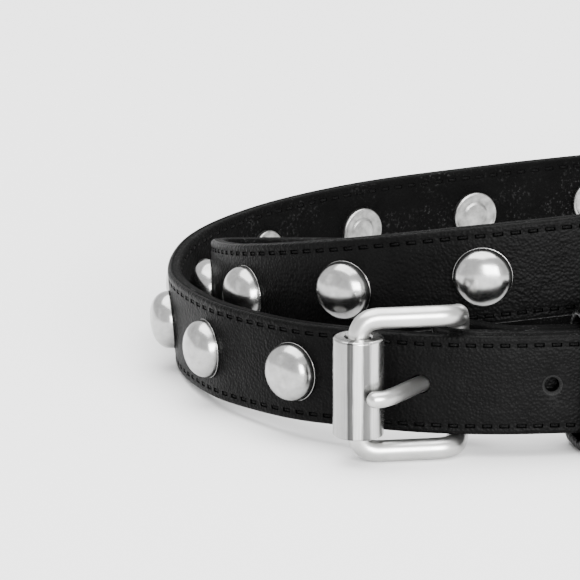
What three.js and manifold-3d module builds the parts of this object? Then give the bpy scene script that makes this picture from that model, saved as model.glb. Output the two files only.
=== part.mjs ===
// A studded leather belt, fastened in its roller buckle and coiled into two turns that stand on edge.
// Millimetres, +Z up. The front of the buckle faces -Y, and the strap's loose end points to +X.
// The strap is one band of leather: tail, outer turn, crossing, inner turn, and the end round the heel bar.

import * as THREE from "three";
import { mergeVertices } from "three/addons/utils/BufferGeometryUtils.js";
import Module from "manifold-3d";

const wasm = await Module();
wasm.setup();

// Driving sizes of the strap
const strapWidth = 20;
const strapThickness = 2.8;
const edgeChamfer = 0.5;
const layerGap = 0.4; // between layers of leather that lie on each other
const tailLength = 119.5; // from the hole in use to the end of the tip
const tipRound = 13; // length of the rounded tip
const turnBackLength = 34; // of the end that is folded behind the strap
const turnBackMerge = 12; // over this length the folded end comes to lie on the strap

const layerStep = strapThickness + layerGap;

// The coil, measured on the strap's middle line
const coilWidth = 190;
const coilDepth = 166;

// Holes for the buckle's tongue
const holeCount = 5;
const holePitch = 25;
const holeRadius = 1.7;

// Dome studs, each riveted through the strap to a flat cap behind it
const studCount = 26;
const lastStudReach = 156.5; // along the strap, from the last stud to the fold
const studRadius = 5.9;
const studHeight = 4.2;
const studPostRadius = 1.2;
const studCapRadius = 5;
const studCapHeight = 0.8;
const studCapFlatShare = 0.88; // of the cap's radius, inside its bevelled rim
const studCapRimShare = 0.75; // of the cap's height, at the bevel's top
const domeLevels = [1, 0.83, 0.42]; // shares of the dome's height, from its top down
const postClearance = 0.3;
const seatClearance = 0.3; // between a stud and the leather that it sits on

// Roller buckle
const wireRadius = 2.1;
const barSpacing = 26.9; // between the middle lines of the frame's two arms
const frameCornerRadius = 4.2;
const rollerRadius = 5;
const rollerLength = 19.9;
const rollerEdgeRadius = 0.5;
const rollerClearance = 0.45;
const rollerGap = 3.2; // between the roller and the strap behind it
const rollerDistance = 9.6; // along the strap, from the hole in use
const heelBarDistance = 6.2; // along the strap, from the hole in use
const armEndSetBack = 9; // the heel bar lies this far behind the arms' ends
const heelCornerReach = 2.2; // of the bends at the heel bar's ends, along the wire
const armEndReach = 4; // of the bends at the arms' ends
const tongueRadius = 1.65;
const tongueEyeWire = 1.1;
const tongueClearance = 0.4; // round the heel bar, and to the leather
const tongueRestGap = 0.3; // between the tongue and the roller
const tongueBendAngle = 52; // round the roller, from its front
const tongueTipAngle = 26;
const tongueBendShare = 1.1; // of the distance at which the tip rests
const foldSlotMargin = 0.5;
const tongueTipShare = 0.08; // the round end stops this share of its radius short of a point

// Keeper loop
const keeperDistance = 36; // from the hole in use to the middle of the keeper
const keeperWidth = 10;
const keeperThickness = 1.9;
const keeperSlack = 0.6; // between the keeper and the faces of the layers inside it
const keeperEdgeSlack = 1.7; // between the keeper and the edges of the layers
const keeperLayers = 3; // of leather inside the keeper
const keeperCornerRadius = 2; // inside

// Fineness of the faceted surfaces
const sectionStep = 6; // along the strap, between lofted sections
const tipSections = 6;
const foldSections = 8; // round the heel bar
const holeSides = 12;
const postHoleSides = 8;
const studSides = 12;
const wireSections = 60;
const wireSides = 10;
const rollerSides = 24;
const tongueSections = 14;
const eyeSections = 20;
const eyeSides = 8;
const cornerSegments = 4;
const mergeDistance = 1e-4; // vertices nearer than this are one
const cutReach = 0.3; // of a hole's cutter past the strap's faces
const bendSpan = 4; // to each side of a stud, over which the strap's bend is measured
const searchStep = 0.05; // along the strap, in the search for the heel bar's seat

// The strap's route. right is a share of the coil's width and back of its depth, both from the hole in use.
// lift is the lower edge's height as a share of the strap's width. lean, in degrees, tips the upper edge out.
const route = [
  { name: "tail_end", right: 0.487, back: 0.345, lift: 0.0, lean: 0 },
  { name: "tail_bend", right: 0.44, back: 0.21, lift: 0.0, lean: 0 },
  { name: "under_crossing", right: 0.352, back: 0.11, lift: 0.02, lean: 0 },
  { name: "past_keeper", right: 0.25, back: 0.04, lift: 0.15, lean: 0 },
  { name: "keeper", right: 0.155, back: 0.006, lift: 0.215, lean: 0 },
  { name: "beside_keeper", right: 0.075, back: -0.006, lift: 0.224, lean: 0 },
  { name: "hole_in_use", right: 0.0, back: 0.0, lift: 0.225, lean: 0 },
  { name: "roller", right: -0.062, back: 0.024, lift: 0.215, lean: 0 },
  { name: "front_left", right: -0.13, back: 0.073, lift: 0.172, lean: 0 },
  { name: "left_bend", right: -0.182, back: 0.137, lift: 0.13, lean: 1 },
  { name: "left_front", right: -0.223, back: 0.209, lift: 0.09, lean: 2 },
  { name: "left_side", right: -0.264, back: 0.372, lift: 0.01, lean: 5 },
  { name: "left_back", right: -0.25, back: 0.54, lift: 0.01, lean: 4 },
  { name: "back_bend", right: -0.186, back: 0.684, lift: 0.0, lean: 2 },
  { name: "back_left", right: -0.081, back: 0.803, lift: 0.0, lean: 0 },
  { name: "back_middle", right: 0.051, back: 0.89, lift: 0.0, lean: 0 },
  { name: "back_right", right: 0.19, back: 0.953, lift: 0.02, lean: 0 },
  { name: "back_end", right: 0.35, back: 0.995, lift: 0.06, lean: 0 },
  { name: "right_back", right: 0.525, back: 0.97, lift: 0.15, lean: 0 },
  { name: "right_bend", right: 0.668, back: 0.855, lift: 0.3, lean: 0 },
  { name: "right_side", right: 0.7298, back: 0.67, lift: 0.52, lean: 0 },
  { name: "right_front", right: 0.71, back: 0.475, lift: 0.76, lean: 0 },
  { name: "before_crossing", right: 0.605, back: 0.32, lift: 0.98, lean: 0 },
  { name: "crossing", right: 0.42, back: 0.205, lift: 1.13, lean: 0 },
  { name: "past_crossing", right: 0.22, back: 0.133, lift: 1.19, lean: 0 },
  { name: "inner_front", right: 0.059, back: 0.098, lift: 1.1, lean: 0 },
  { name: "inner_rise", right: -0.081, back: 0.143, lift: 0.855, lean: 0 },
  { name: "inner_left", right: -0.184, back: 0.262, lift: 0.525, lean: 0 },
  { name: "inner_side", right: -0.222, back: 0.452, lift: 0.16, lean: 0 },
  { name: "inner_corner", right: -0.188, back: 0.514, lift: 0.04, lean: 0 },
  { name: "return_left", right: -0.125, back: 0.53, lift: 0.008, lean: 0 },
  { name: "return_start", right: -0.03, back: 0.528, lift: 0.0, lean: 0 },
  { name: "return_middle", right: 0.12, back: 0.525, lift: 0.0, lean: 0 },
  { name: "return_right", right: 0.3, back: 0.52, lift: 0.0, lean: 0 },
  { name: "inner_right", right: 0.43, back: 0.465, lift: 0.0, lean: 0 },
];
const holeRow = route.findIndex((row) => row.name === "hole_in_use");

const leather = new THREE.MeshStandardMaterial({ color: 0x0c0c0d, roughness: 0.55, metalness: 0 });
const polishedSteel = new THREE.MeshStandardMaterial({ color: 0xd4d4d2, roughness: 0.16, metalness: 1 });
const satinNickel = new THREE.MeshStandardMaterial({ color: 0xc9c9c7, roughness: 0.28, metalness: 1 });

const verticalAxis = new THREE.Vector3(0, 0, 1);

// The horizontal direction that points out of the coil, for a strap that runs along tangent.
function outwardOf(tangent) {
  return new THREE.Vector3().crossVectors(verticalAxis, tangent).normalize();
}

function routePoint(row) {
  return new THREE.Vector3(row.right * coilWidth, row.back * coilDepth, (row.lift + 0.5) * strapWidth);
}

// A smooth line through points, with its length measured finely enough to place studs on it.
function smoothLine(points) {
  const line = new THREE.CatmullRomCurve3(points, false, "centripetal");
  line.arcLengthDivisions = 60 * points.length;
  return line;
}

// The heel layer lies one thickness inside the tail, so its points are the tail's, moved inwards.
function strapLine() {
  const drawn = route.map(routePoint);
  const guide = smoothLine(drawn);
  const heelLayer = drawn.slice(0, holeRow + 1).map((point, row) => {
    const tangent = guide.getTangent(row / (drawn.length - 1));
    return point.clone().addScaledVector(outwardOf(tangent), -layerStep);
  });
  const line = smoothLine([...drawn, ...heelLayer]);
  const lean = [...route, ...route.slice(0, holeRow + 1)].map((row) => row.lean);
  return { line, lean };
}

const { line: middleLine, lean: leanOfRow } = strapLine();
const middleLength = middleLine.getLength();
const lastRow = leanOfRow.length - 1;

// How far along the middle line a row of the route lies.
function distanceToRow(row) {
  const lengths = middleLine.getLengths();
  return lengths[Math.round((row / lastRow) * (lengths.length - 1))];
}
const holeStation = distanceToRow(holeRow);

// The strap's place and directions at a distance from the hole in use, counted away from the tail.
// A tail that is longer than the route runs on straight before the route's first point.
function strapFrame(distance) {
  const station = holeStation + distance;
  const share = Math.max(station, 0) / middleLength;
  const place = middleLine.getUtoTmapping(share) * lastRow;
  const row = Math.min(Math.floor(place), lastRow - 1);
  const lean = THREE.MathUtils.lerp(leanOfRow[row], leanOfRow[row + 1], place - row);
  const tangent = middleLine.getTangentAt(share);
  const outward = outwardOf(tangent).applyAxisAngle(tangent, THREE.MathUtils.degToRad(-lean));
  const up = new THREE.Vector3().crossVectors(tangent, outward);
  const point = middleLine.getPointAt(share).addScaledVector(tangent, Math.min(station, 0));
  return { point, tangent, outward, up };
}

// How strongly the strap bends at a distance, in 1/mm.
function strapCurvature(distance) {
  const before = strapFrame(distance - bendSpan).tangent;
  const after = strapFrame(distance + bendSpan).tangent;
  return before.angleTo(after) / (2 * bendSpan);
}

// A closed body lofted through rings of points, all with as many points, with a fan on each end.
function loft(rings) {
  const sides = rings[0].length;
  const vertices = rings.flat();
  const faces = [];
  for (let r = 0; r + 1 < rings.length; r++) {
    for (let k = 0; k < sides; k++) {
      const a = r * sides + k;
      const b = r * sides + ((k + 1) % sides);
      faces.push(a, b, b + sides, a, b + sides, a + sides);
    }
  }
  const last = (rings.length - 1) * sides;
  for (let k = 1; k + 1 < sides; k++) {
    faces.push(0, k + 1, k, last, last + k, last + k + 1);
  }
  return new THREE.BufferGeometry().setFromPoints(vertices).setIndex(faces);
}

// A three.js geometry, moved by matrix, as a solid that can be cut and joined.
function solidOf(geometry, matrix = new THREE.Matrix4()) {
  const bare = geometry.clone();
  bare.deleteAttribute("normal");
  bare.deleteAttribute("uv");
  bare.applyMatrix4(matrix);
  const merged = mergeVertices(bare, mergeDistance);
  return new wasm.Manifold(
    new wasm.Mesh({
      numProp: 3,
      vertProperties: new Float32Array(merged.attributes.position.array),
      triVerts: new Uint32Array(merged.index.array),
    }),
  );
}

function geometryOf(solid) {
  const mesh = solid.getMesh();
  const geometry = new THREE.BufferGeometry();
  geometry.setAttribute("position", new THREE.BufferAttribute(new Float32Array(mesh.vertProperties), 3));
  geometry.setIndex(new THREE.BufferAttribute(new Uint32Array(mesh.triVerts), 1));
  geometry.computeVertexNormals();
  return geometry;
}

function meshNamed(name, geometry, material) {
  const mesh = new THREE.Mesh(geometry, material);
  mesh.name = name;
  return mesh;
}

// The matrix that puts a shape's X along the strap, its Y outwards and its Z up the strap's width.
function matrixOf(frame) {
  const { point, tangent, outward, up } = frame;
  return new THREE.Matrix4().makeBasis(tangent, outward, up).setPosition(point);
}

// One cross-section of the strap round the point of a frame.
function strapRing(frame, width = strapWidth) {
  const halfWidth = width / 2;
  const halfThickness = strapThickness / 2;
  const chamfer = Math.min(edgeChamfer, halfWidth / 2);
  const corners = [
    [halfThickness, -halfWidth + chamfer],
    [halfThickness, halfWidth - chamfer],
    [halfThickness - chamfer, halfWidth],
    [-halfThickness + chamfer, halfWidth],
    [-halfThickness, halfWidth - chamfer],
    [-halfThickness, -halfWidth + chamfer],
    [-halfThickness + chamfer, -halfWidth],
    [halfThickness - chamfer, -halfWidth],
  ];
  return corners.map(([out, up]) =>
    frame.point.clone().addScaledVector(frame.outward, out).addScaledVector(frame.up, up),
  );
}

// The strap's width at a distance from the end of the tip, which is rounded.
function widthNearTip(fromEnd) {
  const inside = Math.min(fromEnd / tipRound, 1);
  return strapWidth * Math.sqrt(1 - (1 - inside) ** 2);
}

// Where the buckle's parts lie, all in the plane that is level and square to the frame's bars.
const frontFrame = strapFrame(0);
const rollerSeat = strapFrame(rollerDistance);
const heelSeat = strapFrame(-heelBarDistance);
const rollerOffset = strapThickness / 2 + rollerGap + rollerRadius;
const foldRadius = wireRadius + tongueClearance + strapThickness / 2;
const heelOffset = strapThickness + layerGap + foldRadius;
const heelBarReach = strapWidth / 2 + heelCornerReach; // so the heel bar is straight inside the fold
const rollerAxis = rollerSeat.point.clone().addScaledVector(rollerSeat.outward, rollerOffset);
const heelAxis = heelSeat.point.clone().addScaledVector(heelSeat.outward, -heelOffset);
const buckleMiddleZ = wireRadius + barSpacing / 2; // the lower arm lies on the ground
const strapMiddleZ = frontFrame.point.z;

// The closed end: the heel layer, the fold round the heel bar and the end turned back behind the strap.
function foldFrames(lastFrame) {
  const frames = [];
  const towards = new THREE.Vector3().subVectors(lastFrame.point, heelAxis).setZ(0).normalize();
  for (let k = 1; k <= foldSections; k++) {
    const outward = towards.clone().applyAxisAngle(verticalAxis, (-Math.PI * k) / foldSections);
    const point = heelAxis.clone().setZ(lastFrame.point.z).addScaledVector(outward, foldRadius);
    const tangent = new THREE.Vector3().crossVectors(outward, verticalAxis);
    frames.push({ point, tangent, outward, up: verticalAxis.clone() });
  }
  const backSteps = Math.round(turnBackLength / sectionStep);
  for (let k = 1; k <= backSteps; k++) {
    const distance = (k / backSteps) * turnBackLength;
    const heel = strapFrame(heelStation - distance);
    const merge = Math.min(distance / turnBackMerge, 1);
    const away = THREE.MathUtils.lerp(2 * foldRadius, layerStep, THREE.MathUtils.smoothstep(merge, 0, 1));
    const point = heel.point.clone().addScaledVector(heel.outward, -away);
    frames.push({ point, up: heel.up });
  }
  for (let k = foldSections; k < frames.length; k++) {
    const next = frames[Math.min(k + 1, frames.length - 1)].point;
    const tangent = new THREE.Vector3().subVectors(next, frames[k - 1].point).normalize();
    frames[k].tangent = tangent;
    frames[k].outward = new THREE.Vector3().crossVectors(frames[k].up, tangent).normalize();
  }
  return frames;
}

// The heel layer ends beside the heel bar, where the line from the bar meets it squarely.
function findHeelStation() {
  let best = 0;
  let nearest = Infinity;
  const end = middleLength - holeStation;
  for (let distance = end - 4 * heelBarDistance; distance <= end; distance += searchStep) {
    const gap = strapFrame(distance).point.setZ(0).distanceTo(heelAxis.clone().setZ(0));
    if (gap < nearest) {
      nearest = gap;
      best = distance;
    }
  }
  return best;
}
const heelStation = findHeelStation();

function holeCutter(station, radius, sides) {
  const cutter = new THREE.CylinderGeometry(radius, radius, strapThickness + 2 * cutReach, sides);
  return solidOf(cutter, matrixOf(strapFrame(station)));
}

function strapGeometry(studStations) {
  const rings = [];
  const start = -tailLength;
  for (let k = 1; k <= tipSections; k++) {
    const angle = (k / tipSections) * (Math.PI / 2);
    const fromEnd = tipRound * (1 - Math.cos(angle));
    rings.push(strapRing(strapFrame(start + fromEnd), widthNearTip(fromEnd)));
  }
  const plainStart = start + tipRound;
  const steps = Math.round((heelStation - plainStart) / sectionStep);
  let lastFrame;
  for (let k = 1; k <= steps; k++) {
    lastFrame = strapFrame(plainStart + (k / steps) * (heelStation - plainStart));
    rings.push(strapRing(lastFrame));
  }
  foldFrames(lastFrame).forEach((frame) => rings.push(strapRing(frame)));
  let strap = solidOf(loft(rings));
  for (const station of studStations) {
    strap = strap.subtract(holeCutter(station, studPostRadius + postClearance, postHoleSides));
  }
  for (let k = 1; k < holeCount; k++) {
    strap = strap.subtract(holeCutter(-k * holePitch, holeRadius, holeSides));
  }
  strap = strap.subtract(tongueWire(tongueRadius + tongueClearance));
  return geometryOf(strap.subtract(foldSlot()));
}

// The radius of the tongue's ring, to the middle of its wire
const eyeRadius = wireRadius + tongueClearance + tongueEyeWire;

// The slot that lets the tongue's eye turn on the heel bar inside the fold.
function foldSlot() {
  const radius = foldRadius + strapThickness / 2 + layerGap / 2;
  const height = 2 * (tongueRadius + foldSlotMargin);
  const drum = new THREE.CylinderGeometry(radius, radius, height, holeSides).rotateX(Math.PI / 2);
  return solidOf(drum, new THREE.Matrix4().setPosition(heelAxis.x, heelAxis.y, strapMiddleZ));
}

// A dome, its post through the strap and the cap riveted on behind, turned round one axis.
function studGeometry(station) {
  const bend = strapCurvature(station) / 2;
  const front = strapThickness / 2 + seatClearance;
  const back = -strapThickness / 2 - seatClearance - studCapRadius ** 2 * bend;
  const dome = domeLevels.map((share) => [
    studRadius * Math.sqrt(1 - share ** 2),
    front + studHeight * share,
  ]);
  const profile = [
    ...dome,
    [studRadius, front],
    [studPostRadius, front],
    [studPostRadius, back],
    [studCapRadius, back],
    [studCapRadius * studCapFlatShare, back - studCapRimShare * studCapHeight],
    [0, back - studCapHeight],
  ];
  const points = profile.reverse().map(([radius, height]) => new THREE.Vector2(radius, height));
  return new THREE.LatheGeometry(points, studSides);
}

function studMesh(name, station) {
  const mesh = meshNamed(name, studGeometry(station), polishedSteel);
  matrixOf(strapFrame(station)).decompose(mesh.position, mesh.quaternion, mesh.scale);
  return mesh;
}

// Straight runs between corners, each corner rounded by an arc-like curve that starts radius before it.
function roundedLoop(corners, radii) {
  const path = new THREE.CurvePath();
  const count = corners.length;
  const cut = corners.map((corner, k) => {
    const before = corners[(k + count - 1) % count];
    const after = corners[(k + 1) % count];
    const inDirection = new THREE.Vector3().subVectors(corner, before).normalize();
    const outDirection = new THREE.Vector3().subVectors(after, corner).normalize();
    const start = corner.clone().addScaledVector(inDirection, -radii[k]);
    const end = corner.clone().addScaledVector(outDirection, radii[k]);
    return { start, corner, end };
  });
  cut.forEach((here, k) => {
    const next = cut[(k + 1) % count];
    path.add(new THREE.QuadraticBezierCurve3(here.start, here.corner, here.end));
    path.add(new THREE.LineCurve3(here.end, next.start));
  });
  return path;
}

// The frame: one wire bent into a ring. The arms run level past the strap, then bend back to the heel bar.
function frameGeometry() {
  const top = buckleMiddleZ + barSpacing / 2;
  const bottom = buckleMiddleZ - barSpacing / 2;
  const armEnd = heelAxis.clone().addScaledVector(heelSeat.outward, armEndSetBack);
  const at = (axis, z) => new THREE.Vector3(axis.x, axis.y, z);
  const corners = [
    at(rollerAxis, bottom),
    at(rollerAxis, top),
    at(armEnd, top),
    at(heelAxis, strapMiddleZ + heelBarReach),
    at(heelAxis, strapMiddleZ - heelBarReach),
    at(armEnd, bottom),
  ];
  const radii = [
    frameCornerRadius, frameCornerRadius, armEndReach, heelCornerReach, heelCornerReach, armEndReach,
  ];
  return new THREE.TubeGeometry(roundedLoop(corners, radii), wireSections, wireRadius, wireSides, true);
}

function rollerMesh() {
  const inner = wireRadius + rollerClearance;
  const half = rollerLength / 2;
  const edge = rollerEdgeRadius;
  const profile = [
    [inner, -half],
    [rollerRadius - edge, -half],
    [rollerRadius, -half + edge],
    [rollerRadius, half - edge],
    [rollerRadius - edge, half],
    [inner, half],
    [inner, -half],
  ].map(([radius, height]) => new THREE.Vector2(radius, height));
  const mesh = meshNamed("roller", new THREE.LatheGeometry(profile, rollerSides), satinNickel);
  mesh.rotation.x = Math.PI / 2;
  mesh.position.set(rollerAxis.x, rollerAxis.y, buckleMiddleZ);
  return mesh;
}

// A point at an angle round the roller's front, towards the hole in use, at the strap's middle height.
function aroundRoller(distance, degrees) {
  const angle = THREE.MathUtils.degToRad(degrees);
  return rollerAxis.clone().setZ(strapMiddleZ)
    .addScaledVector(frontFrame.outward, distance * Math.cos(angle))
    .addScaledVector(frontFrame.tangent, -distance * Math.sin(angle));
}

// The tongue's wire, from its eye out through the hole to its tip on the roller, with a round end.
function tongueWire(radius) {
  const rest = rollerRadius + tongueRestGap + tongueRadius;
  const bend = aroundRoller(rest * tongueBendShare, tongueBendAngle);
  const hole = frontFrame.point.clone();
  const towardsEye = heelAxis.clone().setZ(strapMiddleZ).sub(hole).normalize();
  const root = heelAxis.clone().setZ(strapMiddleZ).addScaledVector(towardsEye, -eyeRadius);
  const tip = aroundRoller(rest, tongueTipAngle);
  const line = new THREE.CatmullRomCurve3([root, hole, bend, tip], false, "centripetal");
  const length = line.getLength();
  const rings = [];
  for (let k = 0; k <= tongueSections; k++) {
    const share = Math.sin((k / tongueSections) * (Math.PI / 2));
    const fromTip = Math.min(((1 - share) * length) / radius + tongueTipShare, 1);
    const side = outwardOf(line.getTangentAt(share));
    const size = radius * Math.sqrt(1 - (1 - fromTip) ** 2);
    rings.push(roundRing(line.getPointAt(share), side, size));
  }
  return solidOf(loft(rings));
}

// A ring of points round a level wire, whose side direction is across.
function roundRing(centre, across, radius) {
  return Array.from({ length: wireSides }, (_, k) => {
    const angle = (2 * Math.PI * k) / wireSides;
    return centre.clone()
      .addScaledVector(across, radius * Math.cos(angle))
      .addScaledVector(verticalAxis, radius * Math.sin(angle));
  });
}

function tongueGeometry() {
  const eye = new THREE.TorusGeometry(eyeRadius, tongueEyeWire, eyeSides, eyeSections);
  const place = new THREE.Matrix4().setPosition(heelAxis.x, heelAxis.y, strapMiddleZ);
  return geometryOf(solidOf(eye, place).add(tongueWire(tongueRadius)));
}

// A rectangle with round corners, grown outwards from the keeper's inner face by offset.
function keeperOutline(path, offset) {
  const left = -strapThickness / 2 - (keeperLayers - 1) * layerStep - keeperSlack - offset;
  const right = strapThickness / 2 + keeperSlack + offset;
  const reach = strapWidth / 2 + keeperEdgeSlack + offset;
  const radius = keeperCornerRadius + offset;
  path.absarc(right - radius, reach - radius, radius, 0, Math.PI / 2);
  path.absarc(left + radius, reach - radius, radius, Math.PI / 2, Math.PI);
  path.absarc(left + radius, -reach + radius, radius, Math.PI, Math.PI * 1.5);
  path.absarc(right - radius, -reach + radius, radius, Math.PI * 1.5, Math.PI * 2);
  path.closePath();
  return path;
}

// The keeper: a flat leather ring round the tail, the heel layer and the end turned back.
function keeperMesh() {
  const outline = keeperOutline(new THREE.Shape(), keeperThickness);
  outline.holes.push(keeperOutline(new THREE.Path(), 0));
  const band = new THREE.ExtrudeGeometry(outline, {
    depth: keeperWidth,
    bevelEnabled: false,
    curveSegments: cornerSegments,
  });
  band.translate(0, 0, -keeperWidth / 2);
  const mesh = meshNamed("keeper", band, leather);
  const { point, tangent, outward, up } = strapFrame(-keeperDistance);
  mesh.quaternion.setFromRotationMatrix(new THREE.Matrix4().makeBasis(outward, up, tangent));
  mesh.position.copy(point);
  return mesh;
}

// The studs are spread evenly, the first one pitch after the hole in use.
const studPitch = (heelStation - lastStudReach) / studCount;
const studStations = Array.from({ length: studCount }, (_, k) => (k + 1) * studPitch);

const belt = new THREE.Group();
belt.add(meshNamed("strap", strapGeometry(studStations), leather));
belt.add(meshNamed("frame", frameGeometry(), satinNickel));
belt.add(rollerMesh());
belt.add(meshNamed("tongue", tongueGeometry(), satinNickel));
belt.add(keeperMesh());
studStations.forEach((station, k) => {
  belt.add(studMesh(`stud_${String(k + 1).padStart(2, "0")}`, station));
});

// The origin is the middle of the coil's footprint, on the ground.
const bounds = new THREE.Box3().setFromObject(belt, true);
const middle = bounds.getCenter(new THREE.Vector3());
belt.position.set(-middle.x, -middle.y, -bounds.min.z);

export default belt;
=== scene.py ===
"""A black studded leather belt with a roller buckle, fastened and coiled into two turns.

Sizes are in millimetres in the frame of the strap's route, whose origin is the hole in use.
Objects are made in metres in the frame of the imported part.
"""

import math

import bpy
import numpy as np
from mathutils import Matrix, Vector


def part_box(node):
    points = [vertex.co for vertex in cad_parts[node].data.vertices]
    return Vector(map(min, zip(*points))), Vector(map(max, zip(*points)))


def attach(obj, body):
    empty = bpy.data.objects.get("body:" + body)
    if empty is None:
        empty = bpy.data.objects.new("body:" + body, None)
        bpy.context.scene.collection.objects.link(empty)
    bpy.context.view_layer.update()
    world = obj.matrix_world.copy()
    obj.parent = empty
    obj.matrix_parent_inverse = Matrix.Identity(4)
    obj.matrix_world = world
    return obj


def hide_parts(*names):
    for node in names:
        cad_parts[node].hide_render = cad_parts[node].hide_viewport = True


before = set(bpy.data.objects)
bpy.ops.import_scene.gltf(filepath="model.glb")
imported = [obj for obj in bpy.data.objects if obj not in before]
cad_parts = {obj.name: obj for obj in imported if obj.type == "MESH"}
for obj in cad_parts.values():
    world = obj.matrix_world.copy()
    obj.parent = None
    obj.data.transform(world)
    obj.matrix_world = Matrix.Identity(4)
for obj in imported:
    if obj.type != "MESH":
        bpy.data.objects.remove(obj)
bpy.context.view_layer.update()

MM = 0.001

# Strap
STRAP_WIDTH = 20.0
STRAP_THICKNESS = 2.8
HALF_WIDTH = STRAP_WIDTH / 2
HALF_THICKNESS = STRAP_THICKNESS / 2
LAYER_GAP = 0.4
LAYER_STEP = STRAP_THICKNESS + LAYER_GAP
TAIL_LENGTH = 119.5
TIP_ROUND = 13.0
TIP_SECTIONS = 30
TIP_START_ANGLE = 0.06  # radians round the tip, from its very end to its first section
RELIEF_START = 3.0  # from the tip's end: grooves and seam deepen from here to twice as far
TURN_BACK_LENGTH = 34.0
TURN_BACK_MERGE = 12.0
TURN_BACK_SECTIONS = 70
FOLD_SECTIONS = 32
END_SECTIONS = (1.2, 0.75, 0.4, 0.18, 0.05)  # from the folded end
BAND_STEPS_PER_MM = 2
HEEL_SEARCH_STEP = 0.05
OUTER_EDGE_ROUND = 0.75
INNER_EDGE_ROUND = 0.5
EDGE_ROUND_STEPS = 4
FACE_COLUMNS = (-0.7, -0.25, 0.25, 0.7)  # shares of the way to the stitching
SEAM_OUT = 0.35  # of the seam between the strap's two plies, from its middle
SEAM_HALF = 0.2
SEAM_DEPTH = 0.14
STRAP_SHARP_ANGLE = 33

# Stitching
STITCH_PITCH = 3.3
STITCH_ROW = 8.2  # from the strap's middle line
GROOVE_HALF = 0.75
GROOVE_DEPTH = 0.07
PIT_HALF = 0.36
PIT_WALL = 0.06
PIT_LENGTH = 2.0
PIT_FLOOR_LENGTH = 1.75
PIT_DEPTH = 0.55
INNER_PIT_DEPTH = 0.15
LAST_STITCH_GAP = 2.5  # from the strap's folded end
THREAD_RADIUS = 0.27
THREAD_LENGTH = 1.8
THREAD_SIDES = 8
THREAD_WIDTH_SHARE = 1.15
THREAD_SUNK = 0.16
INNER_THREAD_SUNK = 0.02
THREAD_SECTIONS = [
    # share of the length from the middle, height, share of the radius
    (-0.5, -0.35, 0.5),
    (-0.46, -0.12, 0.85),
    (-0.36, 0.0, 1.0),
    (-0.15, 0.04, 1.0),
    (0.15, 0.04, 1.0),
    (0.36, 0.0, 1.0),
    (0.46, -0.12, 0.85),
    (0.5, -0.35, 0.5),
]

# Holes
HOLE_COUNT = 5
HOLE_PITCH = 25.0
HOLE_RADIUS = 1.45
HOLE_FLARE = 0.5
HOLE_SIDES = 40

# Studs
LAST_STUD_REACH = 156.5  # along the strap, from the last stud to the fold
STUD_RADIUS = 5.9
STUD_HEIGHT = 4.2
STUD_LIP = 0.06
DOME_FULLNESS = 2.3  # 2 is a half ellipse, more has fuller shoulders
DOME_SECTIONS = 22
STUD_SIDES = 56
STUD_SHARP_ANGLE = 50
LATHE_TOP_RADIUS = 0.02
SEAT_CLEARANCE = 0.3
CAP_RADIUS = 5.0
CAP_HEIGHT = 0.8
BEND_SPAN = 4.0

# Buckle
WIRE_RADIUS = 2.1
BAR_SPACING = 26.9
FRAME_CORNER_REACH = 4.2
ROLLER_RADIUS = 5.0
ROLLER_LENGTH = 19.9
ROLLER_BORE = 2.55
ROLLER_GAP = 3.2
ROLLER_DISTANCE = 9.6
HEEL_BAR_DISTANCE = 6.2
ARM_END_SET_BACK = 9.0
HEEL_CORNER_REACH = 2.2
ARM_END_REACH = 4.0
TONGUE_RADIUS = 1.65
TONGUE_EYE_WIRE = 1.1
TONGUE_CLEARANCE = 0.4  # round the heel bar
TONGUE_HOLE_CLEARANCE = 0.3
TONGUE_REST_GAP = 0.3
TONGUE_BEND_ANGLE = 52.0
TONGUE_TIP_ANGLE = 26.0
TONGUE_BEND_SHARE = 1.1
TONGUE_SIDES = 32
TONGUE_SECTIONS = 48
TONGUE_HOLE_SIDES = 36
TONGUE_HOLE_SECTIONS = 40
EYE_SIDES = 20
EYE_SECTIONS = 64
SLOT_CLEARANCE = 0.5  # above and below the tongue
SLOT_DEPTH_CLEARANCE = 0.2
SLOT_SIDES = 64
FRAME_SIDES = 32
FRAME_CORNER_SECTIONS = 16
FRAME_RUN_SECTIONS = 18
ROLLER_EDGE_ROUND = 0.5
ROLLER_BORE_CHAMFER = 0.3
ROLLER_EDGE_SECTIONS = 8
ROLLER_SIDES = 96
ROLLER_SHARP_ANGLE = 40

# Keeper
KEEPER_DISTANCE = 36.0
KEEPER_WIDTH = 10.0
KEEPER_THICKNESS = 1.9
KEEPER_SLACK = 0.6
KEEPER_EDGE_SLACK = 1.88
KEEPER_LAYERS = 3
KEEPER_CORNER = 2.0
KEEPER_EDGE_ROUND = 0.65
KEEPER_CROWN = 0.12
KEEPER_CROWN_ROWS = (0.55, 0.2, -0.2, -0.55)  # shares of half the width
KEEPER_CORNER_SECTIONS = 13
KEEPER_RUN_SECTIONS = 8
KEEPER_EDGE_STEPS = 6

# Camera and light
VIEW_DOWN = 16.2
CAMERA_DISTANCE = 1491.0
CAMERA_AIM_HEIGHT = 10.0
CAMERA_AIM_RIGHT = -0.017756  # share of the distance
CAMERA_AIM_UP = 0.014994
CAMERA_LENS = 471.9
FLOOR_METRES = 8
FLOOR_DROP_METRES = 0.0001
WORLD_STRENGTH = 1.45
LIGHT_AIM = (0, 0, 0.02)
LIGHTS = [
    # name, place in metres, size in metres, watts
    ("top", (-0.1, 0.1, 1.3), (1.5, 1.5), 50),
    ("left", (-1.6, -0.3, 0.5), (0.6, 0.8), 1),
    ("front", (0.9, -2.3, 0.75), (2.0, 1.3), 210),
]

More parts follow.
